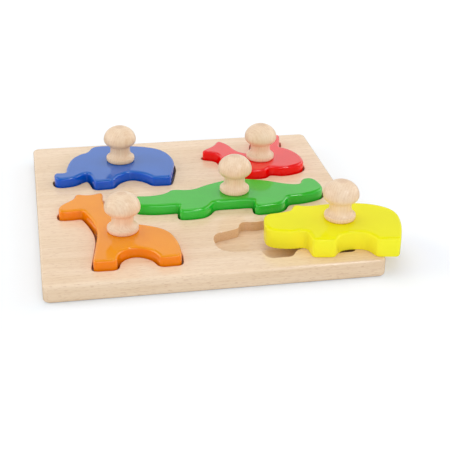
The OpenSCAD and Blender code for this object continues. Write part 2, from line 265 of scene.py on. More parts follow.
class NodeSheet:
    """Lays out the nodes of one material or node group."""

    COLUMNS = 6
    COLUMN_WIDTH = 220
    ROW_HEIGHT = 260
    MIX_FIRST, MIX_SECOND, MIX_RESULT = 6, 7, 2

    def __init__(self, tree: bpy.types.NodeTree) -> None:
        """Takes an empty node tree to fill."""
        self.tree = tree
        self.count = 0

    def add(self, kind: str, **settings: object) -> bpy.types.Node:
        """Adds a node.

        Args:
            kind: The node's type name.
            settings: Properties of the node, by name.

        Returns:
            The new node.
        """
        node = self.tree.nodes.new(kind)
        row, column = divmod(self.count, self.COLUMNS)
        node.location = (self.COLUMN_WIDTH * column, -self.ROW_HEIGHT * row)
        self.count += 1
        for key, value in settings.items():
            setattr(node, key, value)
        return node

    def put(self, node: bpy.types.Node, **values: object) -> bpy.types.Node:
        """Sets inputs of a node by name, with spaces written as underscores.

        Args:
            node: The node to set.
            values: A plain value, or an output socket to link from.

        Returns:
            The same node.
        """
        for key, value in values.items():
            socket = node.inputs[key.replace("_", " ")]
            self.feed(socket, value)
        return node

    def feed(self, socket: Socket, value: object) -> None:
        """Links an output to a socket, or sets the socket to a plain value.

        Args:
            socket: The input socket.
            value: The output socket or the plain value.
        """
        if isinstance(value, Socket):
            self.tree.links.new(value, socket)
        else:
            socket.default_value = value

    def math(self, operation: str, *values: object) -> Socket:
        """Adds a math node.

        Args:
            operation: The operation's name.
            values: Its inputs in order, each a number or an output socket.

        Returns:
            The result's socket.
        """
        node = self.add("ShaderNodeMath", operation=operation)
        for socket, value in zip(node.inputs, values):
            self.feed(socket, value)
        return node.outputs["Value"]

    def stretched(self, vector: Socket, scale: Vector) -> Socket:
        """Scales a vector along each axis.

        Args:
            vector: The coordinates.
            scale: The factors along X, Y and Z.

        Returns:
            The scaled vector's socket.
        """
        node = self.add("ShaderNodeVectorMath", operation="MULTIPLY")
        self.feed(node.inputs[0], vector)
        node.inputs[1].default_value = scale
        return node.outputs["Vector"]

    def split(self, vector: Socket) -> bpy.types.NodeOutputs:
        """Splits a vector into its parts.

        Args:
            vector: The vector's socket.

        Returns:
            The sockets of its parts, named X, Y and Z.
        """
        node = self.add("ShaderNodeSeparateXYZ")
        self.feed(node.inputs[0], vector)
        return node.outputs

    def facing(self) -> bpy.types.NodeOutputs:
        """Gives the parts of the direction in which the surface faces."""
        return self.split(self.add("ShaderNodeNewGeometry").outputs["Normal"])

    def from_middle(self, place: bpy.types.NodeOutputs) -> Socket:
        """Measures how far a place lies from the board's middle, by the larger of its X and Y."""
        aside, ahead = (self.math("ABSOLUTE", place[axis]) for axis in "XY")
        return self.math("MAXIMUM", aside, ahead)

    def noise(self, vector: Socket, scale: float, detail: float, distortion: float = 0.0) -> Socket:
        """Adds a noise texture.

        Args:
            vector: The coordinates.
            scale: How many lumps there are in a unit of them.
            detail: How many finer layers it has.
            distortion: How much it wavers.

        Returns:
            The socket of its value.
        """
        node = self.put(
            self.add("ShaderNodeTexNoise"),
            Vector=vector,
            Scale=scale,
            Detail=detail,
            Distortion=distortion,
        )
        return node.outputs["Fac"]

    def ramped(self, value: Socket, low: float, high: float, out: Range = (0.0, 1.0)) -> Socket:
        """Maps a value smoothly from one range to another.

        Args:
            value: The value.
            low: Where the change begins.
            high: Where it ends.
            out: What the two ends become.

        Returns:
            The mapped value's socket.
        """
        node = self.add("ShaderNodeMapRange", interpolation_type="SMOOTHSTEP")
        self.put(node, Value=value, From_Min=low, From_Max=high, To_Min=out[0], To_Max=out[1])
        return node.outputs["Result"]

    def mixed(self, factor: object, first: object, second: object) -> Socket:
        """Mixes two colours.

        Args:
            factor: How much of the second shows.
            first: The first colour.
            second: The second colour.

        Returns:
            The mixed colour's socket.
        """
        node = self.add("ShaderNodeMix", data_type="RGBA")
        for index, value in ((0, factor), (self.MIX_FIRST, first), (self.MIX_SECOND, second)):
            if isinstance(value, tuple):
                value = (*value, 1.0)
            self.feed(node.inputs[index], value)
        return node.outputs[self.MIX_RESULT]


def new_group(name: str, inputs: dict[str, tuple[str, object]], outputs: tuple[str, ...]) -> NodeSheet:
    """Starts a shader node group that puts out values.

    Args:
        name: The group's name.
        inputs: Each input's socket type and default value, by name.
        outputs: The names of its value outputs.

    Returns:
        A sheet for the group's nodes.
    """
    tree = bpy.data.node_groups.new(name, "ShaderNodeTree")
    for label, (kind, default) in inputs.items():
        socket = tree.interface.new_socket(label, in_out="INPUT", socket_type=kind)
        if default is not None:
            socket.default_value = default
    for label in outputs:
        tree.interface.new_socket(label, in_out="OUTPUT", socket_type="NodeSocketFloat")
    return NodeSheet(tree)


class MaskGroup:
    """A node group that gives masks. It is built once and shared by the materials."""

    NAME: str

    @classmethod
    def tree(cls) -> bpy.types.NodeTree:
        """Gives the node group.

        Returns:
            The group, which is built on its first use.
        """
        if cls.NAME not in bpy.data.node_groups:
            cls.lay_out()
        return bpy.data.node_groups[cls.NAME]

    @classmethod
    def lay_out(cls) -> None:
        """Lays out the group's nodes."""
        raise NotImplementedError


class BeechFigure(MaskGroup):
    """The figure of beech as masks: broad bands, growth rings, fine fibres and short dark ray flecks."""

    NAME = "beech figure"
    BAND_STRETCH = Vector((5.0, 55.0, 80.0))
    BAND_DETAIL, BAND_WAVER = 3.0, 0.6
    BAND_RANGE = (0.3, 0.7)
    FIBRE_STRETCH = Vector((28.0, 620.0, 620.0))
    FIBRE_DETAIL, FIBRE_WAVER = 4.0, 0.2
    FIBRE_RANGE = (0.25, 0.75)
    FLECK_STRETCH = Vector((240.0, 1700.0, 1700.0))
    FLECK_DETAIL, FLECK_WAVER = 1.0, 0.1
    FLECK_RANGE = (0.57, 0.7)
    RING_STRETCH = Vector((0.25, 1.0, 1.0))
    RING_SCALE, RING_WAVER = 190.0, 9.0
    RING_DETAIL, RING_DETAIL_SCALE = 4.0, 0.5
    RING_RANGE = (0.2, 1.0)

    @classmethod
    def lay_out(cls) -> None:
        """Lays out the group, with the coordinates and a seed as inputs."""
        sheet = new_group(
            cls.NAME,
            {"Vector": ("NodeSocketVector", None), "Seed": ("NodeSocketFloat", 0.0)},
            ("Bands", "Rings", "Fibres", "Flecks"),
        )
        ins = sheet.add("NodeGroupInput")
        shift = sheet.add("ShaderNodeVectorMath", operation="ADD")
        sheet.feed(shift.inputs[0], ins.outputs["Vector"])
        sheet.feed(shift.inputs[1], ins.outputs["Seed"])
        place = shift.outputs["Vector"]
        bands, fibres, flecks = (
            sheet.noise(sheet.stretched(place, stretch), 1.0, detail, waver)
            for stretch, detail, waver in (
                (cls.BAND_STRETCH, cls.BAND_DETAIL, cls.BAND_WAVER),
                (cls.FIBRE_STRETCH, cls.FIBRE_DETAIL, cls.FIBRE_WAVER),
                (cls.FLECK_STRETCH, cls.FLECK_DETAIL, cls.FLECK_WAVER),
            )
        )
        rings = sheet.add("ShaderNodeTexWave", wave_type="RINGS", rings_direction="X")
        sheet.put(
            rings,
            Vector=sheet.stretched(ins.outputs["Vector"], cls.RING_STRETCH),
            Scale=cls.RING_SCALE,
            Distortion=cls.RING_WAVER,
            Detail=cls.RING_DETAIL,
            Detail_Scale=cls.RING_DETAIL_SCALE,
        )
        outs = sheet.add("NodeGroupOutput")
        sheet.put(
            outs,
            Bands=sheet.ramped(bands, *cls.BAND_RANGE),
            Rings=sheet.ramped(rings.outputs["Fac"], *cls.RING_RANGE),
            Fibres=sheet.ramped(fibres, *cls.FIBRE_RANGE),
            Flecks=sheet.ramped(flecks, *cls.FLECK_RANGE),
        )


class LacquerSkin(MaskGroup):
    """The skin of sprayed lacquer on wood as masks: the faint waves of the coat and its uneven gloss."""

    NAME = "lacquer skin"
    WAVE_SCALE, WAVE_DETAIL = 160.0, 2.0
    GLOSS_SCALE, GLOSS_DETAIL = 45.0, 3.0
    GLOSS_RANGE = (0.3, 0.7)

    @classmethod
    def lay_out(cls) -> None:
        """Lays out the group, with the coordinates as its input."""
        sheet = new_group(cls.NAME, {"Vector": ("NodeSocketVector", None)}, ("Waves", "Gloss"))
        ins = sheet.add("NodeGroupInput")
        waves = sheet.noise(ins.outputs["Vector"], cls.WAVE_SCALE, cls.WAVE_DETAIL)
        gloss = sheet.noise(ins.outputs["Vector"], cls.GLOSS_SCALE, cls.GLOSS_DETAIL)
        outs = sheet.add("NodeGroupOutput")
        sheet.put(outs, Waves=waves, Gloss=sheet.ramped(gloss, *cls.GLOSS_RANGE))


def blank_sheet(owner: bpy.types.Material | bpy.types.World) -> NodeSheet:
    """Empties the node tree of a material or a world.

    Args:
        owner: The material or the world.

    Returns:
        A sheet for its nodes.
    """
    owner.use_nodes = True
    owner.node_tree.nodes.clear()
    return NodeSheet(owner.node_tree)


def new_material(name: str) -> tuple[bpy.types.Material, NodeSheet, bpy.types.Node]:
    """Starts a material with a Principled BSDF on its output.

    Args:
        name: The material's name.

    Returns:
        The material, a sheet for its nodes, and the Principled node.
    """
    material = bpy.data.materials.new(name)
    sheet = blank_sheet(material)
    shader = sheet.add("ShaderNodeBsdfPrincipled")
    sheet.put(sheet.add("ShaderNodeOutputMaterial"), Surface=shader.outputs["BSDF"])
    return material, sheet, shader


@dataclass(frozen=True)
class BeechFinish:
    """Fine-sanded beech under a thin clear oil, with painted shade on the walls of its pockets: darker
    and browner there.

    The reach is how far those walls may lie from the board's middle, in metres.
    """

    name: str
    slot: str
    grain: Grain
    pale: Colour
    warm: Colour
    fleck: Colour
    band_strength: float
    fleck_strength: float
    smooth: float
    rough: float
    fibre_strength: float = 0.35
    ring_strength: float = 0.0
    end_strength: float = 0.3
    end_range: Range = (0.95, 0.995)
    shine: float = 0.4
    relief: float = 0.00003
    relief_strength: float = 0.5
    seed: float = 0.0
    # painted shade: the darker, browner colour that the pockets' walls turn towards
    routed: Colour = (0.76, 0.5, 0.29)
    pocket_wall_shade_strength: float = 0.0
    pocket_wall_shade_reach: Range = (0.107, 0.11)
    wall_range: Range = (0.2, 0.6)

    def pocket_wall_shade_mask(self, sheet: NodeSheet, place: Socket, level: Socket) -> Socket:
        """Finds the upright walls inside the board's square, the pockets' walls, which take painted
        shade.

        Args:
            sheet: The material's sheet.
            place: The object coordinates.
            level: How squarely the surface faces up or down.

        Returns:
            The mask's socket.
        """
        inside = sheet.ramped(sheet.from_middle(sheet.split(place)), *self.pocket_wall_shade_reach, (1.0, 0.0))
        wall = sheet.ramped(level, *self.wall_range, (self.pocket_wall_shade_strength, 0.0))
        return sheet.math("MULTIPLY", inside, wall)

    def material(self) -> bpy.types.Material:
        """Builds the material.

        Returns:
            The material, in which the figure sets colour, gloss and relief.
        """
        material, sheet, shader = new_material(self.name)
        place = sheet.add("ShaderNodeTexCoord").outputs["Object"]
        turned = sheet.put(sheet.add("ShaderNodeMapping"), Vector=place, Rotation=self.grain.value)
        figure = sheet.add("ShaderNodeGroup", node_tree=BeechFigure.tree())
        sheet.put(figure, Vector=turned.outputs["Vector"], Seed=self.seed)
        bands = sheet.math("MULTIPLY", figure.outputs["Bands"], self.band_strength)
        fibres = sheet.math("MULTIPLY", figure.outputs["Fibres"], self.fibre_strength)
        rings = sheet.math("MULTIPLY", figure.outputs["Rings"], self.ring_strength)
        tone = sheet.math("ADD", sheet.math("ADD", bands, fibres), rings)
        wood = sheet.mixed(tone, self.pale, self.warm)
        facing = sheet.facing()
        along = sheet.math("ABSOLUTE", facing[self.grain.axis])
        end_grain = sheet.ramped(along, *self.end_range, (0.0, self.end_strength))
        wood = sheet.mixed(end_grain, wood, self.fleck)
        level = sheet.math("ABSOLUTE", facing["Z"])
        # Painted shade: the pockets' walls turn darker and browner.
        wall_shade = self.pocket_wall_shade_mask(sheet, place, level)
        wood = sheet.mixed(wall_shade, wood, self.routed)
        flecks = sheet.math("MULTIPLY", figure.outputs["Flecks"], self.fleck_strength)
        gloss = sheet.ramped(figure.outputs["Fibres"], 0.0, 1.0, (self.smooth, self.rough))
        bump = sheet.add("ShaderNodeBump")
        sheet.put(
            bump,
            Strength=self.relief_strength,
            Distance=self.relief,
            Height=figure.outputs["Fibres"],
        )
        sheet.put(
            shader,
            Base_Color=sheet.mixed(flecks, wood, self.fleck),
            Roughness=gloss,
            Normal=bump.outputs["Normal"],
            Specular_IOR_Level=self.shine,
        )
        return material


@dataclass(frozen=True)
class LacquerFinish:
    """Smooth gloss lacquer in one strong colour.

    Its sides take a colour of their own, mostly brighter than the face: painted light for how the lamps
    fall on them. A clear coat may lie thinner on them, and what it throws on the pieces round it may be
    another colour than the one that is seen.
    """

    name: str
    slot: str
    face: Colour
    deep: Colour
    side: Colour
    gloss: float
    coat: float
    side_coat: float | None = None
    thrown: Colour | None = None
    face_range: Range = (0.25, 0.8)
    smooth: float = 0.05
    rough: float = 0.1
    coat_rough: float = 0.06
    waviness: float = 0.00002
    wave_strength: float = 0.3

    def material(self) -> bpy.types.Material:
        """Builds the material.

        Returns:
            The material, in which the skin sets colour depth, gloss and relief.
        """
        material, sheet, shader = new_material(self.name)
        place = sheet.add("ShaderNodeTexCoord").outputs["Object"]
        skin = sheet.add("ShaderNodeGroup", node_tree=LacquerSkin.tree())
        sheet.put(skin, Vector=place)
        bump = sheet.add("ShaderNodeBump")
        sheet.put(bump, Strength=self.wave_strength, Distance=self.waviness, Height=skin.outputs["Waves"])
        upward = sheet.ramped(sheet.facing()["Z"], *self.face_range)
        face = sheet.mixed(skin.outputs["Gloss"], self.face, self.deep)
        # Painted light: the sides take their own colour, mostly brighter than the face, for how the lamps
        # fall on them.
        seen = sheet.mixed(upward, self.side, face)
        coat = self.coat
        if self.side_coat is not None:
            coat = sheet.ramped(upward, 0.0, 1.0, (self.side_coat, self.coat))
        scattered = sheet.add("ShaderNodeLightPath").outputs["Is Diffuse Ray"]
        sheet.put(
            shader,
            Base_Color=sheet.mixed(scattered, seen, self.thrown or self.side),
            Roughness=sheet.ramped(skin.outputs["Gloss"], 0.0, 1.0, (self.smooth, self.rough)),
            Normal=bump.outputs["Normal"],
            Specular_IOR_Level=self.gloss,
            Coat_Weight=coat,
            Coat_Roughness=self.coat_rough,
        )
        return material


@dataclass(frozen=True)
class PlatedSteelFinish:
    """Bright zinc plating on a small steel screw."""

    name: str = "zinc_plated_steel"
    slot: str = "screw_steel"
    bright: Colour = (0.66, 0.66, 0.64)
    dull: Colour = (0.45, 0.46, 0.46)
    cloud_scale: float = 900.0
    cloud_detail: float = 3.0
    colour_range: Range = (0.35, 0.65)
    rough_range: Range = (0.3, 0.7)
    roughness: Range = (0.25, 0.42)

    def material(self) -> bpy.types.Material:
        """Builds the material.

        Returns:
            The material, in which fine noise dulls the plating.
        """
        material, sheet, shader = new_material(self.name)
        place = sheet.add("ShaderNodeTexCoord").outputs["Object"]
        cloud = sheet.noise(place, self.cloud_scale, self.cloud_detail)
        sheet.put(
            shader,
            Base_Color=sheet.mixed(sheet.ramped(cloud, *self.colour_range), self.bright, self.dull),
            Metallic=1.0,
            Roughness=sheet.ramped(cloud, *self.rough_range, self.roughness),
        )
        return material


@dataclass
class Animal:
    """One thick animal: its outline, its place on the board, its lacquer and its knob's place.

    The corners are shares of the animal's box along and up, each with its roundness, clockwise.
    """

    species: Species
    length: float
    height: float
    corner: Pair
    knob_share: Pair
    corners: tuple[tuple[float, float, float], ...]
    lacquer: LacquerFinish
    thickness: float = 14.0
    face_round: float = 2.0
    base_chamfer: float = 0.5
    chamfer_share: float = 0.3
    socket_radius: float = 5.05
    socket_depth: float = 5.05
    shank_radius: float = 2.05
    head_radius: float = 4.05
    head_sink: float = 0.3
    head_height: float = 2.4
    corner_steps: int = 12
    edge_steps: int = 10

    def at(self, along: float, up: float) -> Vector:
        """Gives the place at two shares of the animal's box, in millimetres from the board's middle."""
        return Vector(self.corner) + Vector((along * self.length, up * self.height))

    def outline(self) -> Outline:
        """Rounds the corners into the animal's outline, as it lies in its pocket.

        Returns:
            The outline's points.
        """
        places = [self.at(x, y) for x, y, _ in self.corners]
        points = []
        for i, (_, _, roundness) in enumerate(self.corners):
            before, corner, after = places[i - 1], places[i], places[(i + 1) % len(places)]
            start = corner.lerp(before, roundness / 2)
            end = corner.lerp(after, roundness / 2)
            for step in range(self.corner_steps):
                t = (step + 0.5) / self.corner_steps
                points.append(start.lerp(corner, t).lerp(corner.lerp(end, t), t))
        return points

    def knob_place(self) -> Vector:
        """Gives the knob's axis in the plane, while the animal is in its pocket."""
        return self.at(*self.knob_share)

    def slab_mesh(self) -> Mesh:
        """Models the animal, standing on the plane z = 0 over its pocket.

        Returns:
            The closed mesh: soft edges round the face, and the stepped bore for screw and spigot.
        """
        bm = bmesh.new()
        outline, top, soft = self.outline(), self.thickness, self.face_round
        blunt = self.chamfer_share * self.base_chamfer
        levels = [
            (shifted(outline, -self.base_chamfer), 0.0),
            (shifted(outline, -blunt), blunt),
            (outline, self.base_chamfer),
        ]
        for turn in quarter_turn(self.edge_steps):
            inset = soft * (1 - math.cos(turn))
            levels.append((shifted(outline, -inset), top - soft * (1 - math.sin(turn))))
        base, face = add_wall(bm, levels)
        axis = self.knob_place()
        bore = [
            (self.head_radius, 0.0),
            (self.head_radius, self.head_sink),
            (self.shank_radius, self.head_sink + self.head_height),
            (self.shank_radius, top - self.socket_depth),
            (self.socket_radius, top - self.socket_depth),
            (self.socket_radius, top),
        ]
        seat, mouth = add_wall(bm, [(circle(radius, axis), z) for radius, z in bore])
        fill_flat(bm, base, seat)
        fill_flat(bm, face, mouth)
        return bm


@dataclass
class Knob:
    """A turned mushroom knob with a spigot below it and a pilot hole for its screw."""

    height: float = 27.8
    head_width: float = 24.6
    head_level: float = 17.4
    head_drop: float = 6.6
    neck_width: float = 15.0
    neck_level: float = 9.0
    foot_width: float = 21.6
    foot_rim: float = 3.5
    foot_roll: float = 0.35
    foot_tuck: float = 1.3
    foot_cove_turn: float = 60.0
    cove_share: float = 0.2
    straight_share: float = 0.05
    spigot_radius: float = 5.0
    spigot_length: float = 5.0
    pilot_radius: float = 2.05
    pilot_top: float = 5.35
    steps: int = 14
    turns: int = 96

    def arc(self, centre: Pair, reach: Pair, start: float, end: float) -> Outline:
        """Gives points along part of an upright ellipse.

        Args:
            centre: The ellipse's centre, as radius and height.
            reach: Its half axes along the radius and the height.
            start: The first angle, in degrees from the radius.
            end: The last angle.

        Returns:
            The points, as radius and height.
        """
        angles = [math.radians(start + (end - start) * i / self.steps) for i in range(self.steps + 1)]
        return [
            Vector((centre[0] + reach[0] * math.cos(a), centre[1] + reach[1] * math.sin(a)))
            for a in angles
        ]

    def profile(self) -> Outline:
        """Draws half of the knob's section, from the pilot hole's top round to the top of the dome.

        Returns:
            The points, as radius and height above the animal's face.
        """
        head, neck, foot = self.head_width / 2, self.neck_width / 2, self.foot_width / 2
        rim, middle = foot - self.foot_roll, self.foot_rim / 2
        cove = neck + (head - neck) * self.cove_share
        cove_turn = math.degrees(math.acos(cove / head))
        cove_level = self.head_level - self.head_drop * math.sin(math.radians(cove_turn))
        low = self.neck_level * (1 - self.straight_share)
        high = self.neck_level * (1 + self.straight_share)
        dome = self.height - self.head_level
        flare = math.radians(self.foot_cove_turn)
        along, down = (rim - neck) / (1 - math.cos(flare)), (low - self.foot_rim) / math.sin(flare)
        below = [
            Vector((0.0, self.pilot_top)),
            Vector((self.pilot_radius, self.pilot_top)),
            Vector((self.pilot_radius, -self.spigot_length)),
            Vector((self.spigot_radius, -self.spigot_length)),
            Vector((self.spigot_radius, 0.0)),
        ]
        return [
            *below,
            *self.arc((foot - self.foot_tuck, middle), (self.foot_tuck, middle), -90, 0),
            *self.arc((rim, middle), (self.foot_roll, middle), 0, 90)[1:],
            *self.arc((neck + along, low), (-along, -down), self.foot_cove_turn, 0)[1:],
            *self.arc((cove, high), (neck - cove, cove_level - high), 0, 90),
            *self.arc((0.0, self.head_level), (head, self.head_drop), -cove_turn, 0)[1:],
            *self.arc((0.0, self.head_level), (head, dome), 0, 90)[1:],
        ]

    def mesh(self, axis: Vector, base: float) -> Mesh:
        """Spins the profile into a knob.

        Args:
            axis: The knob's axis in the plane.
            base: The height of the face that it stands on.

        Returns:
            The closed mesh.
        """
        bm = bmesh.new()
        points = [bm.verts.new((p.x * MM, 0.0, p.y * MM)) for p in self.profile()]
        edges = [bm.edges.new(pair) for pair in zip(points, points[1:])]
        bmesh.ops.spin(
            bm,
            geom=points + edges,
            cent=(0.0, 0.0, 0.0),
            axis=(0.0, 0.0, 1.0),
            angle=2 * math.pi,
            steps=self.turns,
            use_merge=True,
        )
        bmesh.ops.remove_doubles(bm, verts=bm.verts, dist=POLE_MERGE_DISTANCE)
        bmesh.ops.translate(bm, verts=bm.verts, vec=(axis.x * MM, axis.y * MM, base * MM))
        return bm


@dataclass
class Board:
    """The square beech board with its routed pockets."""

    finish: BeechFinish
    side: float = 225.0
    thickness: float = 12.5
    corner_radius: float = 5.0
    top_round: float = 1.9
    base_round: float = 1.5
    pocket_depth: float = 7.0
    pocket_gap: float = 1.3
    lip_round: float = 0.35
    lip_steps: int = 3
    edge_steps: int = 6
    corner_steps: int = 10

    def pocket(self, bm: Mesh, outline: Outline) -> Edges:
        """Sinks one pocket with a sanded lip.

        Args:
            bm: The board's mesh in the making.
            outline: The outline of the animal that the pocket holds.

        Returns:
            The edges of the pocket's mouth, in the board's top.
        """
        lip, top = self.lip_round, self.thickness
        levels = [(shifted(outline, self.pocket_gap), top - self.pocket_depth)]
        for turn in quarter_turn(self.lip_steps):
            spread = self.pocket_gap + lip * (1 - math.cos(turn))
            levels.append((shifted(outline, spread), top - lip * (1 - math.sin(turn))))
        floor, mouth = add_wall(bm, levels)
        fill_flat(bm, floor)
        return mouth

    def mesh(self, animals: list[Animal]) -> Mesh:
        """Models the board.

        Args:
            animals: The animals that have a pocket in it.

        Returns:
            The closed mesh.
        """
        bm = bmesh.new()
        levels = []
        for turn in quarter_turn(self.edge_steps):
            inset = self.base_round * (1 - math.sin(turn))
            levels.append((self.plan(inset), self.base_round * (1 - math.cos(turn))))
        for turn in quarter_turn(self.edge_steps):
            inset = self.top_round * (1 - math.cos(turn))
            levels.append((self.plan(inset), self.thickness - self.top_round * (1 - math.sin(turn))))
        base, top = add_wall(bm, levels)
        fill_flat(bm, base)
        mouths = [self.pocket(bm, animal.outline()) for animal in animals]
        fill_flat(bm, top, *mouths)
        return bm

    def plan(self, inset: float) -> Outline:
        """Gives the outline of the square with its round corners, clockwise from above.

        Args:
            inset: How far the outline lies inside the board's edge.

        Returns:
            The outline's points.
        """
        reach, turn = self.side / 2 - self.corner_radius, self.corner_radius - inset
        points = []
        for quarter, (x, y) in enumerate(((1, 1), (1, -1), (-1, -1), (-1, 1))):
            for step in range(self.corner_steps + 1):
                angle = math.radians(90 - 90 * quarter - 90 * step / self.corner_steps)
                place = (x * reach + turn * math.cos(angle), y * reach + turn * math.sin(angle))
                points.append(Vector(place))
        return points


@dataclass
class PegPuzzle:
    """The whole puzzle: it places the animals, models every piece and dresses it."""

    board: Board
    knob_finish: BeechFinish
    animals: list[Animal]
    screw_finish: PlatedSteelFinish = PlatedSteelFinish()
    lying: Species = Species.HIPPO
    lying_shift: Pair = (32.2, -8.65)
    lying_turn: float = -8.2

    def placement(self, animal: Animal) -> Matrix:
        """Gives the move that takes an animal from the plane z = 0 to where it rests.

        Args:
            animal: The animal.

        Returns:
            A lift to its pocket's floor, or for the one that is out, the move onto the board's top.
        """
        if animal.species is not self.lying:
            return Matrix.Translation((0.0, 0.0, (self.board.thickness - self.board.pocket_depth) * MM))
        axis = animal.knob_place().to_3d() * MM
        shift = Vector((*self.lying_shift, self.board.thickness)) * MM
        turn = Matrix.Rotation(math.radians(self.lying_turn), 4, "Z")
        return Matrix.Translation(axis + shift) @ turn @ Matrix.Translation(-axis)

    def build_board(self) -> bpy.types.Object:
        """Models and dresses the board.

        Returns:
            The board's object.
        """
        finish = self.board.finish
        bm = self.board.mesh(self.animals)
        return dressed(bm, "beech_board", "board", "board", finish.material())

    def build_animal(self, animal: Animal, wood: bpy.types.Material) -> list[bpy.types.Object]:
        """Models and dresses one animal and its knob.

        Args:
            animal: The animal.
            wood: The knobs' beech.

        Returns:
            The animal's object and its knob's.
        """
        body, move = animal.species.value, self.placement(animal)
        slab = animal.slab_mesh()
        knob = Knob().mesh(animal.knob_place(), animal.thickness)
        for bm in (slab, knob):
            bmesh.ops.transform(bm, matrix=move, verts=bm.verts)
        lacquer, turned = animal.lacquer, self.knob_finish
        return [
            dressed(slab, f"{body}_lacquered", body, f"{body}_slab", lacquer.material()),
            dressed(knob, f"{body}_turned_knob", body, f"{body}_knob", wood),
        ]

    def dress_screws(self) -> None:
        """Gives the screws their plating."""
        steel = self.screw_finish.material()
        for animal in self.animals:
            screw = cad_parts[f"{animal.species.value}_screw"]
            screw.data.materials.clear()
            screw.data.materials.append(steel)

    def build(self) -> list[bpy.types.Object]:
        """Models and dresses every piece.

        Returns:
            The new objects.
        """
        wood = self.knob_finish.material()
        pieces = [self.build_board()]
        for animal in self.animals:
            pieces += self.build_animal(animal, wood)
        self.dress_screws()
        return pieces


@dataclass(frozen=True)
class Lamp:
    """A square soft lamp that faces the puzzle: its place and side in metres, its power in watts.

    One that is a glint only shows as a highlight in gloss.
    """

    name: str
    place: Place
    side: float
    power: float
    glint: bool = False

    def hang(self) -> None:
        """Hangs the lamp and turns it to the puzzle."""
        data = bpy.data.lights.new(self.name, "AREA")
        data.size, data.energy = self.side, self.power
        lamp = bpy.data.objects.new(self.name, data)
        lamp.location = self.place
        lamp.rotation_mode = "QUATERNION"
        lamp.rotation_quaternion = Vector(self.place).to_track_quat("Z", "Y")
        lamp.visible_diffuse = not self.glint
        bpy.context.scene.collection.objects.link(lamp)


